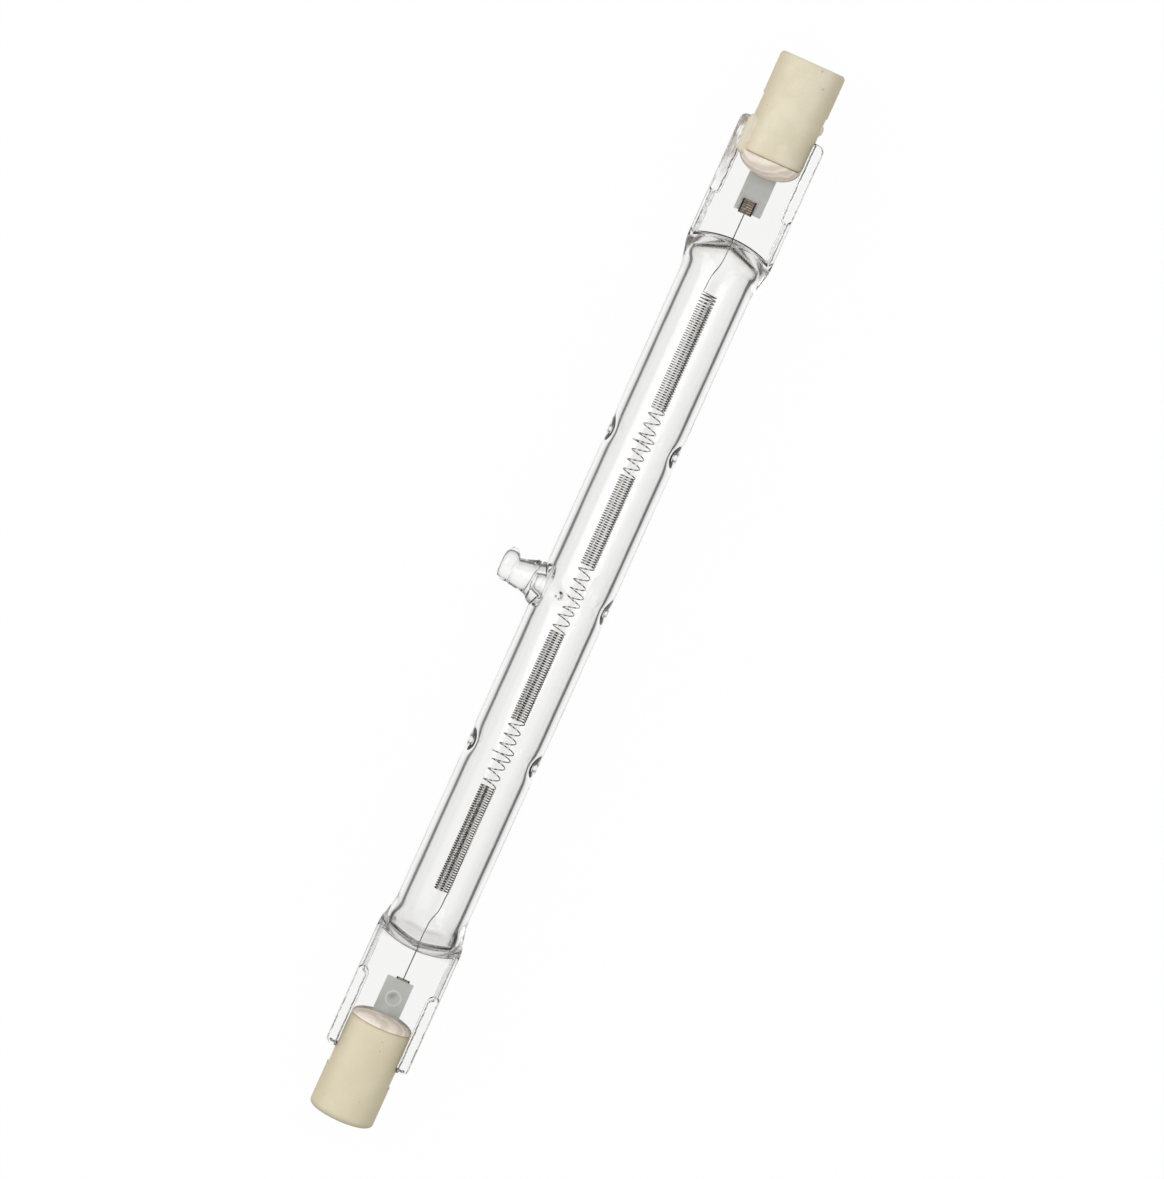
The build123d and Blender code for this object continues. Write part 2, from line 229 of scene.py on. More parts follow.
# %% [markdown]
# Clear quartz takes nearly all its looks from its shape: what a viewer sees is the backdrop, bent by
# the walls. A glass shader or the Principled shader with full transmission would both do it, and the
# Principled one also exports well. Its faint tint is the little light that each wall takes. A very
# slight, long waviness in the bump stands for the draw lines of real tubing.

# %% Quartz
CLEAR_TINT = (0.955, 0.955, 0.95, 1.0)
DRAW_LINE_SIZE = 1.6
DRAW_LINE_DEPTH = 0.012

quartz, shader, places = new_finish("clear quartz")
feed(shader, IOR=1.458, Transmission_Weight=1.0)
feed(shader, Normal=bump(noise(drawn_out(places, 0.25), DRAW_LINE_SIZE), DRAW_LINE_DEPTH))
down_x = in_lamp(places, along) - PRESS_SHIFT
across_y = in_lamp(places, to_tip)
front = in_lamp(places, face_up).step(0.0, 0.4)
streaks = noise(drawn_out(places, 0.3), 0.4, 3.0)
print("finish:", quartz.name)

# %% [markdown]
# The band where the tube closes, where the quartz was melted and pressed, is slightly rough, and it is
# tinted grey-brown as painted shade for the dark surroundings that the bent glass shows there. Small dark
# spots in the corners are painted reflections of those surroundings. One rail of the upper pinch has a
# brown stain. A painted image could hold these, but masks made from the distance along and across the lamp
# keep their edges sharp at any size. Each mask picks a tint between the clear one and its own.

# %% Painted shade, painted reflections and a stain in the quartz
# painted shade: the tint of the band where the tube closes
PAINTED_SHADE_TINT = (0.8, 0.765, 0.735, 1.0)
STAINED_TINT = (0.36, 0.31, 0.25, 1.0)
# painted reflection: the tint of the dark spots in the cavity's corners
DARK_REFLECTION_TINT = (0.1, 0.055, 0.03, 1.0)
BAND_ROUGHNESS = 0.17
# along the quartz, across it towards the tip, half length, half width
DARK_REFLECTION_SPOTS = [(37.95, 4.1, 0.65, 0.33), (-37.2, 3.5, 0.8, 0.14), (-36.9, -3.32, 1.1, 0.14)]


def spot(x, y, half_long, half_wide):
    """1 at a place on the quartz, fading out round it."""
    far = ((down_x - x) / half_long) ** 2.0 + ((across_y - y) / half_wide) ** 2.0
    return 1 - far.step(0.2, 1.5)


band_start = (abs(down_x) + 0.3 * abs(across_y)).step(38.1, 38.5)
band_stop = (abs(down_x) + 0.1 * abs(across_y)).step(39.5, 39.8)
band = band_start * (1 - band_stop)
# painted shade: the band is tinted where the bent glass shows the dark surroundings
painted_dark_band = band * (0.45 + 0.55 * streaks.step(0.35, 0.6)) * (0.3 + 0.7 * front)
wide_rail = down_x.step(44.0, 48.5) * across_y.step(3.5, 3.7) * streaks.step(0.36, 0.52)
thin_rail = down_x.step(39.6, 40.2) * across_y.step(3.8, 4.0) * streaks.step(0.5, 0.65)
# painted reflections: dark spots where the bent glass shows the dark surroundings
dark_reflection = spot(*DARK_REFLECTION_SPOTS[0])
for place in DARK_REFLECTION_SPOTS[1:]:
    dark_reflection = dark_reflection.most(spot(*place))
tint = mix_colour(painted_dark_band, CLEAR_TINT, PAINTED_SHADE_TINT)
tint = mix_colour(wide_rail.most(0.55 * thin_rail), tint, STAINED_TINT)
tint = mix_colour(dark_reflection * front, tint, DARK_REFLECTION_TINT)
feed(shader, Base_Color=tint, Roughness=band * BAND_ROUGHNESS)
# the band and the spots counted here are painted shade and painted dark reflections
print("melted band and", len(DARK_REFLECTION_SPOTS), "burnt spots in", quartz.name)

# %% [markdown]
# The caps are unglazed ceramic, a warm cream with faint clouds, a fine grain and a few dark pores. A flat
# cream would look like plastic, so three noises of different sizes make the clouds, the grain and the
# pores, and the grain also drives a fine bump. Painted shade darkens the caps towards their sides and
# greys the lower cap's outer edge, and the whole of the lower cap is a little darker.

# %% Ceramic of the caps
LOWER_END_X = -58.0  # from here outwards the lower cap's edge is greyer

ceramic, shader, places = new_finish("cream ceramic")
clouds = noise(places, 2.6, 3.0)
grain = noise(places, 0.16, 4.0, 0.7)
pores = noise(places, 0.42, 0.0).step(0.835, 0.87)
cream = mix_colour(clouds.step(0.35, 0.68), shade(211, 202, 177), shade(221, 212, 190))
cream = mix_colour(grain.step(0.3, 0.75) * 0.35, cream, shade(200, 188, 159))
# painted shade: the caps darken towards their sides
side_shade = abs(in_lamp(places, to_tip)).step(1.6, 3.5)
lower_cap = 1 - in_lamp(places, along).step(-1.0, 1.0)
cream = mix_colour(lower_cap * 0.5, cream, shade(202, 192, 162))
cream = mix_colour(side_shade * 0.65, cream, shade(186, 174, 146))
# painted shade: the lower cap's outer edge is greyer
lower_end_shade = 1 - in_lamp(places, along).step(LOWER_END_X - 1.0, LOWER_END_X)
cream = mix_colour(lower_end_shade * 0.75, cream, shade(132, 134, 118))
cream = mix_colour(pores * 0.45, cream, shade(150, 138, 116))
feed(shader, Base_Color=cream, Roughness=0.62 + 0.2 * grain, IOR=1.5)
feed(shader, Normal=bump(grain - pores * 0.8, 0.02, 0.5))
print("finish:", ceramic.name)

# %% [markdown]
# The cement that holds each cap is softer and pinker than the ceramic. It was pushed in as a paste, so
# it has slanted smears. Waves bent by noise give the smears, and a coarse noise gives the lumps. The
# beads of cement beside the caps have taken the colour of the ceramic.

# %% Cement
SMEARS_A_METRE = 420.0

cement, shader, places = new_finish("pink cement")
bands = {"wave_type": "BANDS", "bands_direction": "DIAGONAL"}
smears = places.node("ShaderNodeTexWave", bands, Vector=places, Scale=SMEARS_A_METRE,
                     Distortion=5.0, Detail=2.0, Detail_Scale=1.4)("Fac")
lumps = noise(places, 0.5, 3.0)
paste = mix_colour(smears.step(0.2, 0.9), shade(214, 199, 182), shade(231, 220, 206))
paste = mix_colour(lumps.step(0.4, 0.75) * 0.5, paste, shade(226, 214, 206))
beside = in_lamp(places, to_tip) * in_lamp(places, along).math("SIGN")
paste = mix_colour(beside.step(2.75, 3.1), paste, shade(208, 200, 177))
feed(shader, Base_Color=paste, Roughness=0.7 + 0.2 * lumps)
feed(shader, Normal=bump(lumps + smears * 0.4, 0.03, 0.6))
print("finish:", cement.name)

# %% [markdown]
# The filament is tungsten wire. Its coil shows three dark rows, which are painted reflections: a shiny
# coil mirrors the dark surroundings in rows across it. The lower half is darker along one side. The turns
# are too fine for their shading to carry this at a distance, so masks made from the place across the coil
# darken the wire, and the straight tails have one tone.

# %% Tungsten of the filament
# the dark rows are painted reflections
ROW_PITCH = 0.58  # from dark row to dark row
ROW_OFFSET = 0.05  # the rows' middle, towards the exhaust tip
DARK_SIDE_END_X = -6.0  # the darker side runs from the lower end to here
COIL_MIDDLE_X = -0.4
TAILS_FROM = 33.0  # from the coil's middle

tungsten, shader, places = new_finish("dark tungsten")
winds = noise(places, 0.16, 1.0)
stretch = noise(places, 6.0, 0.0)
station = in_lamp(places, along)
row = in_lamp(places, to_tip) - ROW_OFFSET
# painted reflections: dark rows where a shiny coil mirrors the dark surroundings
rows = (0.5 + 0.5 * (row * (2 * math.pi / ROW_PITCH)).math("COSINE")).step(0.25, 0.75)
rows = rows * (1 - abs(row).step(0.74, 0.82))
wire_tone = mix_colour(winds.step(0.36, 0.62), shade(206, 200, 192), shade(244, 240, 236))
wire_tone = mix_colour(rows, wire_tone, shade(66, 60, 54))
darker_part = (1 - station.step(DARK_SIDE_END_X - 0.8, DARK_SIDE_END_X)) * stretch.step(0.3, 0.5)
darker_side = darker_part * (1 - row.step(-0.46, -0.34))
wire_tone = mix_colour(darker_side * 0.85, wire_tone, shade(44, 31, 24))
tails = abs(station - COIL_MIDDLE_X).step(TAILS_FROM, TAILS_FROM + 0.6)
wire_tone = mix_colour(tails, wire_tone, shade(112, 104, 96))
feed(shader, Base_Color=wire_tone, Metallic=0.7, Roughness=0.38)
print("finish:", tungsten.name)

# %% [markdown]
# The foils in the pinches are dull grey molybdenum sheet. Their colour is paler than that grey, as painted
# light that stands in for the light which the glass holds back. The lower one shows the round mark of a
# spot weld: a pale rim round a hollow with painted shade on one side, and a painted glare beside it.
# Distances from the weld's middle make the rim and the hollow, and the rim stands up a little in the bump.

# %% Molybdenum of the foils
WELD_X, WELD_Y = -45.4, -0.05
GLARE_X, GLARE_Y = -47.2, 0.5

molybdenum, shader, places = new_finish("grey molybdenum")
sheet_grain = noise(places, 0.35, 3.0)
# painted light: the sheet is paler than the metal's grey, for the light that the glass holds back
sheet = mix_colour(sheet_grain, shade(224, 225, 220), shade(238, 239, 234))
station = in_lamp(places, along)
height = in_lamp(places, to_tip)
from_weld = ((station - WELD_X) ** 2.0 + (height - WELD_Y) ** 2.0) ** 0.5
rim = from_weld.step(0.62, 0.76) * (1 - from_weld.step(0.8, 0.92))
# painted shade: one side of the weld's hollow is darkened
shaded_side = (height - WELD_Y + station - WELD_X).step(-0.2, 0.6)
hollow = (1 - from_weld.step(0.1, 0.75)) * shaded_side
# painted highlight: a glare beside the weld
glare = 1 - ((station - GLARE_X) ** 2.0 + (height - GLARE_Y) ** 2.0).step(0.05, 1.2)
sheet = mix_colour(rim, sheet, shade(255, 255, 254))
sheet = mix_colour(hollow * 0.8, sheet, shade(140, 142, 138))
sheet = mix_colour(glare * 0.5, sheet, shade(255, 255, 252))
feed(shader, Base_Color=sheet, Metallic=0.3, Roughness=0.55 + 0.1 * sheet_grain)
feed(shader, Normal=bump(sheet_grain + rim, 0.01, 0.5))
print("finish:", molybdenum.name)

# %% [markdown]
# The sleeve on each foil is a flattened coil: brown, ribbed across, with a dark line along each side.
# The contacts are nickel-plated steel with fine turning marks. The two differ in colour, in how rough
# they are and in what their grain follows, so each gets its own values.

# %% Sleeve and contacts
RIB_TURN = 26.0  # radians that the ribs' wave runs through in each millimetre

sleeve, shader, places = new_finish("ribbed sleeve")
station = in_lamp(places, along)
from_line = abs(in_lamp(places, to_tip) - TAIL_Y * station.math("SIGN"))
ribs = 0.5 + 0.5 * (station * RIB_TURN + 4.0 * noise(places, 0.4)).math("SINE")
worn = noise(places, 0.3, 3.0).step(0.3, 0.6)
brown = mix_colour(ribs * worn, shade(120, 104, 90), shade(214, 198, 180))
brown = mix_colour(from_line.step(0.5, 0.6), brown, shade(52, 44, 38))
feed(shader, Base_Color=brown, Metallic=0.3, Roughness=0.5, Normal=bump(ribs, 0.03))

nickel, shader, places = new_finish("nickel plate")
turned = noise(places, 0.12, 2.0)
plate = mix_colour(turned, shade(186, 184, 178), shade(206, 204, 198))
feed(shader, Base_Color=plate, Metallic=1.0, Roughness=0.28 + 0.15 * turned)
print("finishes:", sleeve.name, nickel.name)

# %% [markdown]
# The caps, the cement, the contacts and the metal in the pinches keep the solid model's own meshes.
# They could be modelled again here, but their shapes are already right, so they only get a finish.

# %% Dress the solid pieces
finishes = {
    "ceramic_cap": ceramic,
    "cement": cement,
    "contact_button": nickel,
    "foil": molybdenum,
    "weld_tab": sleeve,
    "outer_lead": molybdenum,
}
for node_name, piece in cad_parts.items():
    for start, finish in finishes.items():
        if node_name.startswith(start):
            piece.data.materials.clear()
            piece.data.materials.append(finish)
            print(node_name, "is", finish.name)

# %% [markdown]
# The quartz could be cut from solids with Booleans, but glass shows every uneven facet as a bent line.
# So both of its skins are grids of points that follow smooth rules: rings of points for stations along
# the lamp, each ring going round the section there. The rules are the same as the solid model's: a round
# tube, a shoulder that flattens, and a pinch with a thin web between two rails.

# %% Sizes of the quartz
# stations are counted from the quartz's own middle, the same to both ends
SHOULDER_X = 34.8
SPREAD_END = 38.5  # the shoulder has its full width here
SEAL_X = 39.8  # the flat web starts here
SEAL_EARLY = 0.3  # and this much sooner at the lower end
SEAL_END = 51.9
SEAL_HALF_W = 4.55
RAIL_HALF_T = 1.7
FOOT_HALF_T = 1.35  # of the shoulder where it meets the web
WEB_HALF_T = 0.975
WEB_ARC = 0.85  # how far the web's edge bows towards the middle at its sides
ROOT_RAIL_W = 0.5
RAIL_W = 0.95
RAIL_STEP_X = 43.3  # the rails are wider from here on
RAIL_RIPPLE = 0.07
CORNER_R = 0.7
EDGE_R = 0.5
DIMPLE_PITCH = 17.35
DIMPLE_X = (-DIMPLE_PITCH, 0.0, DIMPLE_PITCH)
# degrees round the tube from the exhaust tip: the dimples on the tip's side, and those facing them
DIMPLES = list(zip(DIMPLE_X, (4.0, 60.0, -3.0))) + list(zip(DIMPLE_X, (178.0, 184.0, 178.0)))
# a dimple's pit: how deep it is and how wide, and the depth and the width of the skirt round it
OUTER_DIMPLE = {"deep": 0.05, "tight": 0.38, "skirt": 0.03, "wide": 0.8}
INNER_DIMPLE = {"deep": 0.56, "tight": 0.36, "skirt": 0.42, "wide": 0.9}


def ease(value, start, stop):
    """0 up to start, 1 from stop on, and smooth between them."""
    part = np.clip((value - start) / (stop - start), 0, 1)
    return part * part * (3 - 2 * part)


def rounding(distance, end, radius):
    """How much a rounded corner has taken off at a distance that runs up to an end."""
    over = np.clip(distance - (end - radius), 0, radius)
    return radius - np.sqrt(radius**2 - over**2)


def pressed_in(x, turn, radius, deep, tight, skirt, wide):
    """How far the dimples press a round wall towards the axis: a blunt pit in a wide, shallow skirt."""
    drop = np.zeros_like(x)
    for station, angle in DIMPLES:
        apart = (turn - math.radians(angle) + math.pi) % (2 * math.pi) - math.pi
        gap = np.hypot(x - station, apart * radius)
        drop += (deep - skirt) * np.exp(-((gap / tight) ** 3)) + skirt * np.exp(-((gap / wide) ** 2))
    return drop


print("pinch", 2 * SEAL_HALF_W, "by", round(SEAL_END - SEAL_X, 1), "mm,", len(DIMPLES), "dimples")

# %% [markdown]
# The outside goes from round to flat. An oval that gets thinner would leave a sharp edge at the
# pinch's sides, where the real one has thick rails. So the section is the thicker of two shapes, an
# oval and a bar with rounded edges, and the web between the rails is then pressed into it.

# %% Outside of the quartz


def outer_skin(station, turn):
    """The outside of the quartz, as points about the quartz's own middle."""
    side = np.sign(station)
    d = np.abs(station)
    half_w = TUBE_R + (SEAL_HALF_W - TUBE_R) * ease(d, SHOULDER_X, SPREAD_END)
    half_w = half_w - rounding(d, SEAL_END, CORNER_R)
    seal = SEAL_X - np.where(station < 0, SEAL_EARLY, 0)
    part = np.clip((d - SHOULDER_X) / (seal - SHOULDER_X), 0, 1)
    round_t = FOOT_HALF_T + (TUBE_R - FOOT_HALF_T) * np.sqrt(1 - part**2)
    y = half_w * np.cos(turn)
    z = round_t * np.abs(np.sin(turn))
    edge = np.clip(EDGE_R - (half_w - np.abs(y)), 0, EDGE_R)
    block = RAIL_HALF_T - rounding(d, SEAL_END, EDGE_R) - EDGE_R + np.sqrt(EDGE_R**2 - edge**2)
    block = np.where(np.abs(np.sin(turn)) < 1e-6, 0, block)
    z = z + np.maximum(block - z, 0) * ease(d, seal - 1.5, seal - 1.0)
    root_y = SEAL_HALF_W - ROOT_RAIL_W
    wall_y = root_y - (RAIL_W - ROOT_RAIL_W) * ease(d, RAIL_STEP_X, RAIL_STEP_X + 0.5)
    ripple = np.sin(4.3 * station + 1) * np.sin(1.7 * station) + 0.6 * np.sin(9.1 * station)
    wall_y = wall_y - RAIL_RIPPLE * ripple * np.where((y > 0) & (station > 0), 1.0, 0.25)
    mask = ease(d, seal - 0.35, seal + 0.05) * ease(-np.abs(y), -wall_y, -wall_y + 0.2)
    z = z * (1 - mask) + np.minimum(z, WEB_HALF_T) * mask
    z = z * np.where(np.sin(turn) < 0, -1, 1)
    shrink = 1 - pressed_in(station, turn, TUBE_R, **OUTER_DIMPLE) / TUBE_R
    lean = np.exp(-(((d - seal) / 1.0) ** 2)) * WEB_ARC * (y / root_y) ** 2
    return np.stack([station - side * lean, y * shrink, z * shrink], axis=-1)


print("the outside runs to", SEAL_END, "mm to both ends")

# %% [markdown]
# The cavity in the tube ends in a V at each end, where the press has closed the soft quartz from both
# sides. A flat end would be simpler, but its edge draws a straight dark line through the glass, and the
# real one draws two slanting lines. So the rings of the inner skin lean back at their sides.

# %% Cavity of the quartz
CAVITY_EDGE = {"upper": 38.3, "lower": 37.85}  # the point of the V
CAVITY_VEE = {"upper": 1.1, "lower": 0.5}  # how far its sides lie back from the point
CAVITY_CLOSE = 0.6  # the length in which it closes
CAVITY_HALF_W = 3.15
CAVITY_ASIDE = 0.06  # the end of the cavity lies this far to the exhaust tip's side
CAVITY_HALF_T = 1.9


def inner_skin(station, turn):
    """The wall of the cavity: a bore that widens and flattens, and closes along a V."""
    d = np.abs(station)
    edge = np.where(station > 0, CAVITY_EDGE["upper"], CAVITY_EDGE["lower"])
    vee = np.where(station > 0, CAVITY_VEE["upper"], CAVITY_VEE["lower"])
    part = np.clip((d - SHOULDER_X) / (edge - SHOULDER_X), 0, 1)
    closing = np.sqrt(1 - np.clip((d - edge) / CAVITY_CLOSE, 0, 0.999) ** 2)
    half_w = (BORE_R + (CAVITY_HALF_W - BORE_R) * ease(part, 0.2, 0.95)) * (0.88 + 0.12 * closing)
    half_t = (CAVITY_HALF_T + (BORE_R - CAVITY_HALF_T) * np.cos(part * math.pi / 2)) * closing
    shrink = 1 - pressed_in(station, turn, BORE_R, **INNER_DIMPLE) / BORE_R
    lean = vee * (np.sqrt(np.cos(turn) ** 2 + 0.01) - 0.1) * ease(d, edge - 2.2, edge)
    x = station - np.sign(station) * lean
    y = half_w * np.cos(turn) * shrink + CAVITY_ASIDE * ease(part, 0.2, 0.9)
    return np.stack([x, y, half_t * np.sin(turn) * shrink], axis=-1)


print("cavity closes at", CAVITY_EDGE)

# %% [markdown]
# A grid alone can't carry the exhaust tip, which stands on the tube like a chimney. So a rectangle of
# faces is left out there, and rings lead from its edge to a circle, up the stub and over the melted
# head, as a potter pulls a spout. The bore of the tip is made the same way on the inner skin. The two
# ends of a skin are flat and thin, so a strip of faces across the last ring closes each of them.

# %% A skin with a chimney


def close_skin(name, stations, turns, section, patch, rings):
    """A closed mesh: rings of points at the stations, with one rectangle led into a chimney."""
    station_grid, turn_grid = np.meshgrid(stations, turns, indexing="ij")
    points = section(station_grid, turn_grid)
    rows, columns = len(stations), len(turns)
    (x0, x1), (t0, t1) = patch
    i0, i1 = (int(np.argmin(np.abs(stations - x))) for x in (x0, x1))
    j0, j1 = (int(np.argmin(np.abs(turns - t))) for t in (t0, t1))
    inside = {(i, j) for i in range(i0 + 1, i1) for j in range(j0 + 1, j1)}
    number = {}
    kept = []
    for i in range(rows):
        for j in range(columns):
            if (i, j) not in inside:
                number[i, j] = len(kept)
                kept.append(points[i, j])
    faces = []
    for i in range(rows - 1):
        for j in range(columns):
            if not (i0 <= i < i1 and j0 <= j < j1):
                k = (j + 1) % columns
                faces.append((number[i, j], number[i + 1, j], number[i + 1, k], number[i, k]))
    edge = [(i0, j) for j in range(j0, j1)] + [(i, j1) for i in range(i0, i1)]
    edge += [(i1, j) for j in range(j1, j0, -1)] + [(i, j0) for i in range(i1, i0, -1)]
    loop = [number[place] for place in edge]
    edge_points = np.array([points[place] for place in edge])
    chimney = rings(edge_points)
    count = len(loop)
    for ring in chimney[:-1]:
        first = len(kept)
        kept.extend(ring)
        new_loop = list(range(first, first + count))
        for k in range(count):
            following = (k + 1) % count
            faces.append((loop[k], loop[following], new_loop[following], new_loop[k]))
        loop = new_loop
    kept.append(chimney[-1])
    faces += [(loop[k], loop[(k + 1) % count], len(kept) - 1) for k in range(count)]
    for i in (0, rows - 1):
        ring = [number[i, j] for j in range(columns)]
        far = columns // 2
        faces += [(ring[0], ring[1], ring[-1]), (ring[far - 1], ring[far], ring[far + 1])]
        for j in range(1, far - 1):
            faces.append((ring[j], ring[j + 1], ring[columns - j - 1], ring[columns - j]))
    mesh = bpy.data.meshes.new(name)
    mesh.from_pydata(to_room(np.array(kept) + (PRESS_SHIFT, 0, 0)).tolist(), [], faces)
    shell = bmesh.new()
    shell.from_mesh(mesh)
    bmesh.ops.recalc_face_normals(shell, faces=shell.faces)
    shell.to_mesh(mesh)
    open_edges = sum(1 for e in shell.edges if len(e.link_faces) != 2)
    shell.free()
    print(name, len(mesh.polygons), "faces,", open_edges, "open edges")
    return mesh


print("skin helper ready")

# %% [markdown]
# Rings cost triangles, so they stand close together only where the shape changes: at the dimples, the
# shoulders and the closing cavity. One even spacing would either lose the dimples or fill the plain
# tube with needless faces. Each stretch has its own spacing, finest where the glass bends most.

# %% Stations along the quartz
TUBE_STEP = 0.8
PIT_STEP = 0.1
PIT_REACH = 1.3  # to each side of a dimple's middle
SKIRT_STEP = 0.28
SKIRT_REACH = 3.0
END_START = 34.4
CLOSING_RINGS = 10


def stations_between(*stretches):
    """Stations with their own spacing on each stretch, given as (start, stop, spacing)."""
    values = []
    for start, stop, spacing in stretches:
        steps = max(1, round((stop - start) / spacing))
        values += [start + (stop - start) * k / steps for k in range(steps)]
    values.append(stretches[-1][1])
    return values


def whole_tube(upper_half, lower_half):
    """The stations of a whole tube: those of each end and, between them, the tube's own."""
    tube = [-lower_half[0]]
    for station in DIMPLE_X:
        tube += list(np.arange(tube[-1] + TUBE_STEP, station - SKIRT_REACH - TUBE_STEP / 2, TUBE_STEP))
        tube += stations_between((station - SKIRT_REACH, station - PIT_REACH, SKIRT_STEP),
                                 (station - PIT_REACH, station + PIT_REACH, PIT_STEP),
                                 (station + PIT_REACH, station + SKIRT_REACH, SKIRT_STEP))
    tube += list(np.arange(tube[-1] + TUBE_STEP, upper_half[0] - TUBE_STEP / 2, TUBE_STEP))
    return np.array([-x for x in reversed(lower_half)] + tube[1:] + list(upper_half))


outer_half = stations_between((END_START, 37.6, 0.2), (37.6, 40.4, 0.08), (40.4, 43.2, 0.3),
                              (43.2, 43.9, 0.12), (43.9, 51.1, 0.25), (51.1, SEAL_END, 0.08))
outer_stations = whole_tube(outer_half, outer_half)
inner_halves = {}
for end, edge in CAVITY_EDGE.items():
    parts = [k / CLOSING_RINGS for k in range(1, CLOSING_RINGS + 1)]
    closing = [edge + CAVITY_CLOSE * math.sin(part * math.pi / 2) for part in parts]
    inner_halves[end] = stations_between((END_START, 37.2, 0.2), (37.2, edge, 0.08)) + closing
inner_stations = whole_tube(inner_halves["upper"], inner_halves["lower"])
print(len(outer_stations), "stations outside,", len(inner_stations), "inside")

# %% [markdown]
# The exhaust tip is where the tube was pumped out and melted shut. It has a flared foot, an uneven
# neck and a head that leans over to one side, with a fold under it. Each shape row below is an oval,
# and the rings between the rows are worked out from them.

# %% Rings of the exhaust tip
TIP_FOOT_R = 2.3
TIP_BORE_FOOT_R = 1.15
FOLD_HEIGHT = 7.04
FOLD_DEPTH = 0.14
# height above the axis, lean towards the upper end, half length, half width
TIP_SHAPE = np.array([
    (4.4, 0.08, 2.1, 1.86), (4.52, 0.18, 2.03, 1.8), (4.7, 0.25, 1.98, 1.74), (5.0, 0.27, 1.81, 1.67),
    (5.5, 0.2, 1.68, 1.58), (6.0, 0.16, 1.55, 1.52), (6.35, 0.16, 1.5, 1.45), (6.55, 0.155, 1.475, 1.41),
    (6.62, 0.23, 1.55, 1.37), (6.7, 0.34, 1.62, 1.34), (6.85, 0.47, 1.72, 1.33), (7.05, 0.55, 1.79, 1.34),
    (7.3, 0.58, 1.81, 1.34), (7.6, 0.58, 1.79, 1.32), (7.78, 0.55, 1.71, 1.26), (7.92, 0.5, 1.59, 1.17),
    (8.04, 0.44, 1.41, 1.0), (8.13, 0.38, 1.15, 0.76), (8.18, 0.34, 0.84, 0.48), (8.198, 0.3, 0.4, 0.22),
])
tip_heights = [4.4, 4.46, 4.52, 4.6, 4.7, 4.85, 5.0, 5.25, 5.5, 5.75, 6.0, 6.2, 6.35, 6.45]
tip_heights += [6.5 + 0.04 * k for k in range(20)] + [7.36, 7.5, 7.6, 7.7, 7.78, 7.86]
tip_heights += [7.92, 7.98, 8.04, 8.09, 8.13, 8.16, 8.18, 8.198]
lean, half_long, half_wide = (np.interp(tip_heights, TIP_SHAPE[:, 0], TIP_SHAPE[:, k]) for k in (1, 2, 3))
TIP_RINGS = list(zip(tip_heights, lean, half_long, half_wide))
# height above the axis and radius of the tip's bore, up to its closed end
BORE_RINGS = [(3.15, 1.1), (3.3, 1.0), (3.6, 0.9), (3.9, 0.8), (4.15, 0.66), (4.3, 0.48), (4.37, 0.28)]
BORE_TOP = (0.07, 4.4, 0.0)
BORE_LEAN = 0.06  # towards the upper end, for each millimetre of height


def lead_to_circle(edge_points, radius, skin_radius, steps):
    """Rings on a round wall that turn the edge of a rectangle into a circle about the tip's axis."""
    x = edge_points[:, 0]
    z = edge_points[:, 2]
    angle = np.arctan2(z, x)
    rings = []
    for k in range(1, steps + 1):
        part = k / steps
        ring_x = x * (1 - part) + radius * np.cos(angle) * part
        ring_z = z * (1 - part) + radius * np.sin(angle) * part
        ring_y = np.sqrt(skin_radius**2 - ring_z**2)
        rings.append(np.stack([ring_x, ring_y, ring_z], axis=-1))
    return rings, angle


def tip_outside(edge_points):
    """The rings of the tip's flared foot, its neck and its head, and the point on top."""
    rings, angle = lead_to_circle(edge_points, TIP_FOOT_R, TUBE_R, 5)
    height, lean, half_x = TIP_RINGS[0][:3]
    for part in (0.2, 0.42, 0.62, 0.8, 0.92):
        radius = TIP_FOOT_R + (half_x - TIP_FOOT_R) * part**1.6
        z = radius * np.sin(angle)
        y = np.sqrt(TUBE_R**2 - z**2) * (1 - part) + height * part
        rings.append(np.stack([lean * part + radius * np.cos(angle), y, z], axis=-1))
    for height, lean, half_x, half_z in TIP_RINGS:
        x = lean + half_x * np.cos(angle)
        fold = np.exp(-(((height - FOLD_HEIGHT + 0.24 * x) / 0.06) ** 2)) * ease(x, 0.1, 0.5)
        fold = fold * (np.sin(angle) > 0)
        z = half_z * np.sin(angle) * (1 - FOLD_DEPTH * fold)
        rings.append(np.stack([x, np.full_like(angle, height), z], axis=-1))
    rings.append(np.array([TIP_RINGS[-1][1], TIP_TOP, 0.0]))
    return rings


def tip_inside(edge_points):
    """The rings of the tip's bore, and the point where it ends."""
    rings, angle = lead_to_circle(edge_points, TIP_BORE_FOOT_R, BORE_R, 3)
    for height, radius in BORE_RINGS:
        x = radius * np.cos(angle) + BORE_LEAN * (height - BORE_RINGS[0][0])
        rings.append(np.stack([x, np.full_like(angle, height), radius * np.sin(angle)], axis=-1))
    rings.append(np.array(BORE_TOP))
    return rings


print(len(TIP_RINGS), "rings in the tip")

# %% [markdown]
# Now the two skins become one mesh. Glass needs both: light bends where it enters the wall and again
# where it leaves it. The inner skin's faces are turned round, so that on both skins they point out of
# the quartz, and the piece is a closed wall with a hollow in it.

# %% Make the quartz
RING_POINTS = 160
OUTER_PATCH = (2.9, math.radians(45))  # half the length and half the turn that the tip takes
INNER_PATCH = (1.6, math.radians(31))
ring_turns = np.linspace(-math.pi, math.pi, RING_POINTS, endpoint=False)


def patch_round_tip(half_length, half_turn):
    """The stations and the turns between which a skin is left open for the exhaust tip."""
    return (-half_length, half_length), (-half_turn, half_turn)


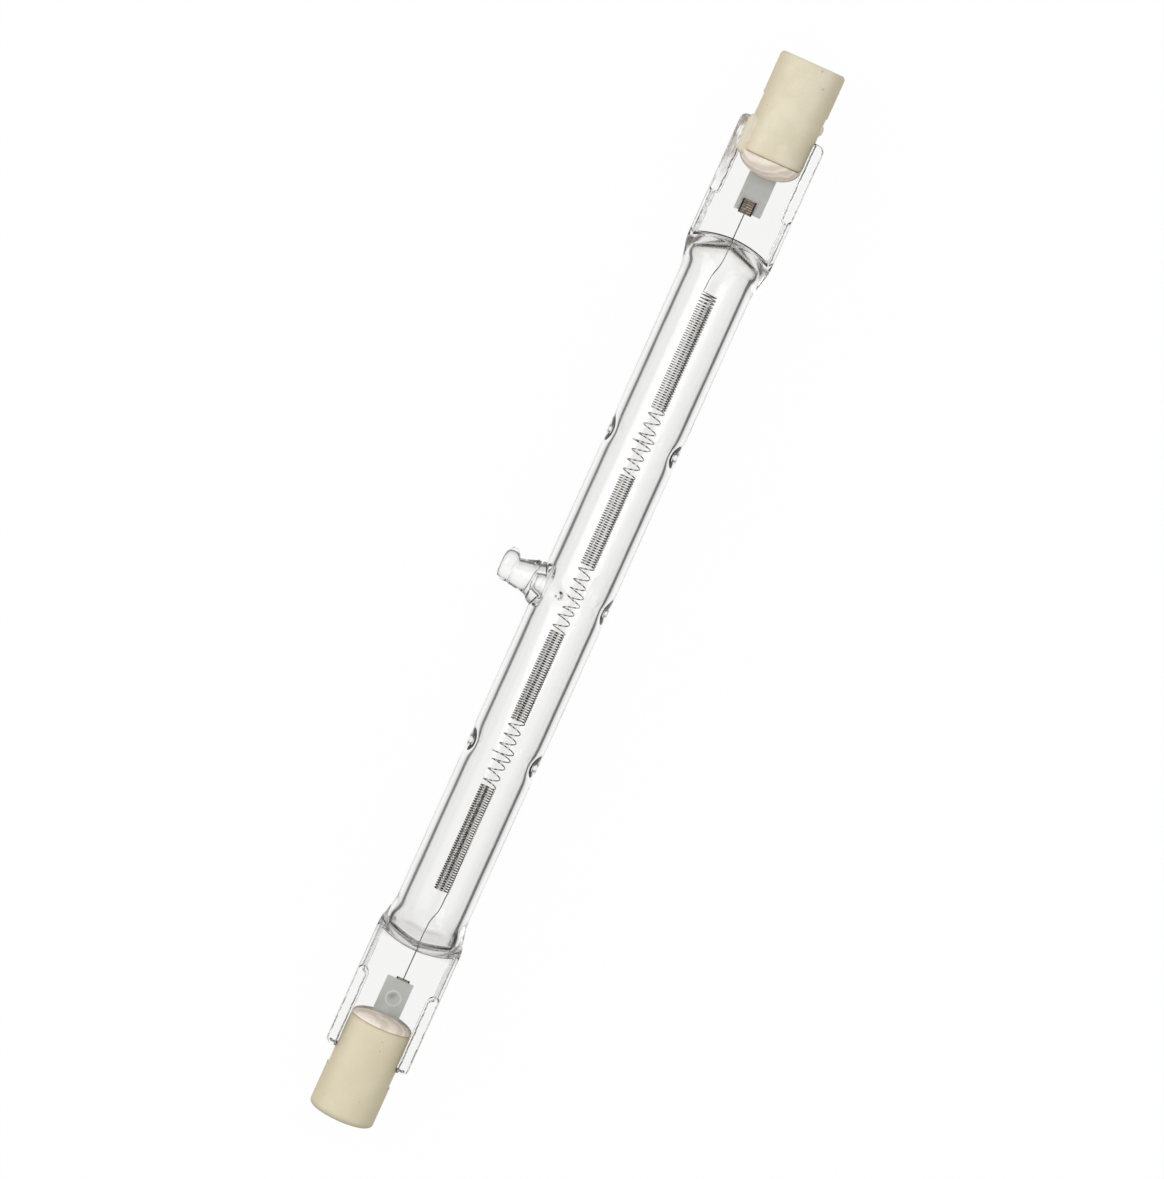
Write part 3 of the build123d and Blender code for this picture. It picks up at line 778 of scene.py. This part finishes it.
outer_mesh = close_skin("outer skin", outer_stations, ring_turns, outer_skin,
                        patch_round_tip(*OUTER_PATCH), tip_outside)
inner_mesh = close_skin("inner skin", inner_stations, ring_turns, inner_skin,
                        patch_round_tip(*INNER_PATCH), tip_inside)
inner_mesh.flip_normals()
both = bmesh.new()
both.from_mesh(outer_mesh)
both.from_mesh(inner_mesh)
envelope_mesh = bpy.data.meshes.new("quartz tube")
both.to_mesh(envelope_mesh)
both.free()
envelope_mesh.shade_smooth()
envelope = bpy.data.objects.new("quartz_tube", envelope_mesh)
bpy.context.collection.objects.link(envelope)
envelope_mesh.materials.append(quartz)
triangles = sum(len(polygon.vertices) - 2 for polygon in envelope_mesh.polygons)
print("quartz tube:", triangles, "triangles")
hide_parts("quartz_envelope")
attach(envelope, "root")

# %% [markdown]
# The filament is one wire, wound tightly in four stretches and opened out between them, where the
# dimples hold it. Blender's spiral curve has a single pitch, so it can't follow that. Here the winding
# is a rule: how fast the wire turns and how far out it runs at each station. A loop follows the rule
# and puts points on the helix, and Geometry Nodes later sweeps a small circle along them.

# %% The rule of the winding
COIL_R = 0.85
WIRE_R = 0.063
DENSE_PITCH = 0.2635
OPEN_PITCH = 1.13
OPEN_HALF = 3.78  # half the length of an open stretch
OPEN_SHIFT = 0.13  # the open stretches lie this far towards the upper end
COIL_PITCH = 17.38  # from one open stretch to the next
COIL_HALF = 32.75
LOOSE_END = 1.1  # the length of the last, looser turns at the upper end
BULGE = 0.36  # how much wider the turns are that a dimple holds
POINTS_A_TURN = 26
OPEN_SAVING = 1.6  # open turns are so few that they need fewer points
OPEN_STATIONS = [mount_x + OPEN_SHIFT + side * COIL_PITCH for side in (-1, 0, 1)]


def pitch_at(x):
    """The distance from turn to turn at a station."""
    pitch = DENSE_PITCH + 0.1 * float(ease(np.array(x), mount_x + COIL_HALF - 0.2, mount_x + COIL_HALF))
    for number, station in enumerate(OPEN_STATIONS):
        apart = x - station
        if abs(apart) < OPEN_HALF:
            held = 0.3 * math.exp(-((apart / 0.9) ** 2))
            uneven = 0.14 * math.sin(2.3 * apart + 1.7 * number)
            opened = OPEN_PITCH - held + uneven
            closing = float(ease(np.array(abs(apart)), OPEN_HALF - 0.35, OPEN_HALF))
            pitch = opened + (DENSE_PITCH - opened) * closing
    return pitch


def reach_at(x):
    """How far the wire's middle runs from the axis at a station."""
    bulge = sum(math.exp(-(((x - station) / 0.6) ** 2)) for station in OPEN_STATIONS)
    return COIL_R - WIRE_R + BULGE * bulge


winding = []
x = mount_x - COIL_HALF
turn = math.pi
while x < mount_x + COIL_HALF + LOOSE_END:
    winding.append((x, turn))
    opened = pitch_at(x) > 2 * DENSE_PITCH
    step = 2 * math.pi / (POINTS_A_TURN * (OPEN_SAVING if opened else 1))
    x += pitch_at(x) * step / (2 * math.pi)
    turn += step
print(len(winding), "points,", round((winding[-1][1] - winding[0][1]) / (2 * math.pi), 1), "turns")

# %% [markdown]
# Each end of the wire leaves the coil as a tail. It runs straight, bends once towards the axis, and
# goes through the closed quartz to the sleeve on the foil. The tails are points of the same wire: their
# stations keep going, while the turn stops.

# %% The tails
TAB_X = 42.7  # where the sleeves start
TAB_GRIP = 1.1  # how far a tail runs on into its sleeve
TAIL_Z = 0.175
TAIL_HEIGHT = 0.72  # where a tail leaves the coil
# distance from the coil's end and how much lower the straight part runs there
STRAIGHT = [(0.12, 0.0), (0.5, 0.015), (1.0, 0.03), (1.5, 0.05)]
# distance from the coil's end and the share of the height that is left in the bend
BEND = [(2.1, 0.86), (2.6, 0.58), (3.1, 0.28), (3.6, 0.08), (4.1, 0.0), (5.2, 0.0)]


def tail_points(side, start):
    """The tail's points from the coil outwards, in the lamp's own axes."""
    path = [(distance, TAIL_HEIGHT - lower) for distance, lower in STRAIGHT]
    drop = path[-1][1] - TAIL_Y
    path += [(distance, TAIL_Y + drop * part) for distance, part in BEND]
    points = [(start + side * distance, side * y, side * TAIL_Z) for distance, y in path]
    points.append((mount_x + side * (TAB_X + TAB_GRIP), side * TAIL_Y, side * TAIL_Z))
    return points


coil_points = [(x, reach_at(x) * math.cos(turn), reach_at(x) * math.sin(turn)) for x, turn in winding]
lower_tail = list(reversed(tail_points(-1, winding[0][0])))
wire_points = lower_tail + coil_points + tail_points(1, winding[-1][0])
print("the last turn ends at", round(math.degrees(winding[-1][1] % (2 * math.pi)), 1), "degrees")

# %% [markdown]
# Now the points become wire. A curve with a bevel would do for one wire, but a node tree can be used
# again for any line and keeps its radius as an input. Mesh to Curve takes the line, Curve to Mesh sweeps
# the circle along it, and the tree ends with real geometry that carries its finish.

# %% A tree that draws wire


def node_in(tree, kind, links, **values):
    """Adds a node to a geometry tree, with its links and its values by socket name."""
    added = tree.nodes.new(kind)
    for name, value in values.items():
        added.inputs[name.replace("_", " ")].default_value = value
    for name, source in links.items():
        tree.links.new(source, added.inputs[name])
    return added


def wire_tree():
    """Geometry Nodes that turn a line of points into round wire of a given radius."""
    tree = bpy.data.node_groups.new("draw wire", "GeometryNodeTree")
    tree.interface.new_socket("Geometry", in_out="INPUT", socket_type="NodeSocketGeometry")
    tree.interface.new_socket("Wire radius", in_out="INPUT", socket_type="NodeSocketFloat")
    tree.interface.new_socket("Sides", in_out="INPUT", socket_type="NodeSocketInt")
    tree.interface.new_socket("Finish", in_out="INPUT", socket_type="NodeSocketMaterial")
    tree.interface.new_socket("Geometry", in_out="OUTPUT", socket_type="NodeSocketGeometry")
    entry = tree.nodes.new("NodeGroupInput")
    path = node_in(tree, "GeometryNodeMeshToCurve", {"Mesh": entry.outputs["Geometry"]})
    ring = node_in(tree, "GeometryNodeCurvePrimitiveCircle",
                   {"Radius": entry.outputs["Wire radius"], "Resolution": entry.outputs["Sides"]})
    rails = {"Curve": path.outputs["Curve"], "Profile Curve": ring.outputs["Curve"]}
    swept = node_in(tree, "GeometryNodeCurveToMesh", rails, Fill_Caps=True)
    smooth = node_in(tree, "GeometryNodeSetShadeSmooth", {"Geometry": swept.outputs["Mesh"]})
    real = node_in(tree, "GeometryNodeRealizeInstances", {"Geometry": smooth.outputs["Geometry"]})
    dressed = node_in(tree, "GeometryNodeSetMaterial",
                      {"Geometry": real.outputs["Geometry"], "Material": entry.outputs["Finish"]})
    leave = tree.nodes.new("NodeGroupOutput")
    tree.links.new(dressed.outputs["Geometry"], leave.inputs["Geometry"])
    return tree


wire_maker = wire_tree()
print(wire_maker.name, "has", len(wire_maker.nodes), "nodes")

# %% [markdown]
# A modifier runs the tree on a plain line of points. Its inputs are set by their identifiers before it
# is first evaluated, and the result is then read off as a plain mesh. The modifier could stay live, but
# a plain mesh is what another program gets, so nothing is left to chance.

# %% The wire of the filament
WIRE_SIDES = 6


def grow(name, points, tree, **inputs):
    """Runs a tree on a line of points and returns the result as a plain object."""
    line = bpy.data.meshes.new(name + " line")
    line.from_pydata(to_room(points).tolist(), [(k, k + 1) for k in range(len(points) - 1)], [])
    carrier = bpy.data.objects.new(name + " line", line)
    bpy.context.collection.objects.link(carrier)
    modifier = carrier.modifiers.new("grow", "NODES")
    modifier.node_group = tree
    for item in tree.interface.items_tree:
        key = item.name.replace(" ", "_")
        if item.in_out == "INPUT" and key in inputs:
            modifier[item.identifier] = inputs[key]
    carrier.update_tag()
    view = bpy.context.evaluated_depsgraph_get()
    mesh = bpy.data.meshes.new_from_object(carrier.evaluated_get(view))
    carrier.modifiers.clear()
    bpy.data.objects.remove(carrier)
    mesh.name = name
    piece = bpy.data.objects.new(name, mesh)
    bpy.context.collection.objects.link(piece)
    return piece


wire = grow("filament_wire", wire_points, wire_maker,
            Wire_radius=WIRE_R * MM, Sides=WIRE_SIDES, Finish=tungsten)
print("filament:", sum(len(p.vertices) - 2 for p in wire.data.polygons), "triangles")
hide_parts("filament")
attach(wire, "root")

# %% [markdown]
# The photograph looks onto the flat of the pinches, with the lamp leaning to the right. The lamp's own
# axes place the camera: above the upper end of the lamp and aimed at its middle. A long lens keeps the
# two ends nearly the same size.

# %% Camera
VIEW_DISTANCE = 500.0
VIEW_OFFSET = 58.0  # the camera stands over the upper end
LEAN = math.radians(24.13)  # of the lamp in the picture
SENSOR_WIDTH = 36.0
LENS = 153.6
PICTURE_SHIFT = (0.0068, 0.0056)  # of the picture's frame, as a share of its width
eye = Vector(to_room([VIEW_OFFSET, 0, VIEW_DISTANCE]))
middle = Vector(to_room([0, 0, 0]))
back = (eye - middle).normalized()
up = along * math.cos(LEAN) + to_tip * math.sin(LEAN)
up = (up - back * up.dot(back)).normalized()
right = up.cross(back)
camera_data = bpy.data.cameras.new("camera")
camera = bpy.data.objects.new("camera", camera_data)
bpy.context.collection.objects.link(camera)
camera.matrix_world = Matrix.Translation(eye) @ Matrix((right, up, back)).transposed().to_4x4()
camera_data.sensor_fit = "HORIZONTAL"
camera_data.sensor_width = SENSOR_WIDTH
camera_data.lens = LENS
camera_data.shift_x, camera_data.shift_y = PICTURE_SHIFT
camera_data.clip_start = 0.01
camera_data.clip_end = 20.0
camera_data.dof.use_dof = False
bpy.context.scene.camera = camera
print("camera at", [round(value, 3) for value in eye])

# %% [markdown]
# Glass is shown by what lies behind it. In front of an even white field a glass tube almost vanishes,
# so a photographer keeps the field bright straight behind it and dark further out: the walls bend the
# view into the dark part and draw thin lines. Here the world is white to the eye, and has a dark ring
# for the rays that have gone through the glass. Rays that the glass turns back to the front meet a
# softer grey with a bright band, which lights the filament and the cavity. Mirrored rays meet a third
# tone, and all others get an even light, a little stronger from above.

# %% World
DARK_RING = 0.84  # how much of the light the ring takes away
DARKEST = 0.14

world = bpy.data.worlds.new("studio")
world.use_nodes = True
bpy.context.scene.world = world
tree = world.node_tree
background = tree.nodes["Background"]
ways = Wire(tree, tree.nodes.new("ShaderNodeTexCoord").outputs["Generated"])
rays = tree.nodes.new("ShaderNodeLightPath")
is_camera = Wire(tree, rays.outputs["Is Camera Ray"])
is_glossy = Wire(tree, rays.outputs["Is Glossy Ray"])
is_through = Wire(tree, rays.outputs["Is Transmission Ray"])
facing = ways.along_axis(face_up)
tilt = abs(facing)
ring = tilt.step(0.42, 0.5) * (1 - tilt.step(0.68, 0.75))
falling = 0.09 * (1 - tilt.step(0.75, 1.0)) + 0.05 * (1 - tilt.step(0.94, 0.985))
falling = falling + 0.2 * (1 - tilt.step(0.76, 0.92))
behind = (1.0 - DARK_RING * ring - falling).most(DARKEST)
above = 0.3 + 0.7 * facing.step(0.2, 0.45) * (1 - facing.step(0.93, 0.99))
overhead = facing.step(-0.02, 0.02)
through = behind * (1 - overhead) + above * overhead
mirrored = 0.25 + 0.35 * facing.step(0.3, 0.5) * (1 - facing.step(0.93, 0.98))
lit = 0.75 + 0.2 * facing
strength = is_camera + is_through * through * (1 - is_camera) + is_glossy * mirrored * (1 - is_through)
other = (1 - is_camera) * (1 - is_through) * (1 - is_glossy)
feed(background, Color=(1.0, 1.0, 1.0, 1.0), Strength=strength + other * lit)
print("world ready")

# %% [markdown]
# The lamp lies on a pale floor that the camera sees as nearly white, so it melts into the backdrop. A
# plain white surface would turn grey in the lamp's own shade. So the floor glows for the rays that
# show it, and is an ordinary surface for the light that bounces. Rays that have gone through the glass
# look past it to the world. One soft lamp from above models the caps.

# %% Floor and lamps
FLOOR_SIZE = 6.0
FLOOR_GLOW = 0.97

bpy.ops.mesh.primitive_plane_add(size=FLOOR_SIZE)
floor = bpy.context.object
floor.name = "floor"
floor.visible_transmission = False
pale, shader, places = new_finish("pale floor")
tree = pale.node_tree
feed(shader, Base_Color=(0.93, 0.93, 0.93, 1.0), Roughness=0.9)
rays = tree.nodes.new("ShaderNodeLightPath")
seen = Wire(tree, rays.outputs["Is Camera Ray"]).most(Wire(tree, rays.outputs["Is Glossy Ray"]))
glow = tree.nodes.new("ShaderNodeEmission")
blend = tree.nodes.new("ShaderNodeMixShader")
tree.links.new((seen * FLOOR_GLOW).socket, blend.inputs[0])
tree.links.new(shader.outputs[0], blend.inputs[1])
tree.links.new(glow.outputs[0], blend.inputs[2])
tree.links.new(blend.outputs[0], tree.nodes["Material Output"].inputs["Surface"])
floor.data.materials.append(pale)


def soft_lamp(name, stand, size, power):
    """A square soft lamp at a place in the lamp's own axes, aimed at the lamp's middle."""
    data = bpy.data.lights.new(name, "AREA")
    data.shape = "SQUARE"
    data.size = size
    data.energy = power
    lamp = bpy.data.objects.new(name, data)
    bpy.context.collection.objects.link(lamp)
    place = Vector(to_room(stand))
    turned_to = (place - middle).to_track_quat("Z", "Y")
    lamp.matrix_world = Matrix.Translation(place) @ turned_to.to_matrix().to_4x4()


soft_lamp("softbox", stand=(120, 420, 620), size=0.5, power=1.6)
bpy.context.scene.view_settings.view_transform = "Standard"
print("floor and lamps ready")
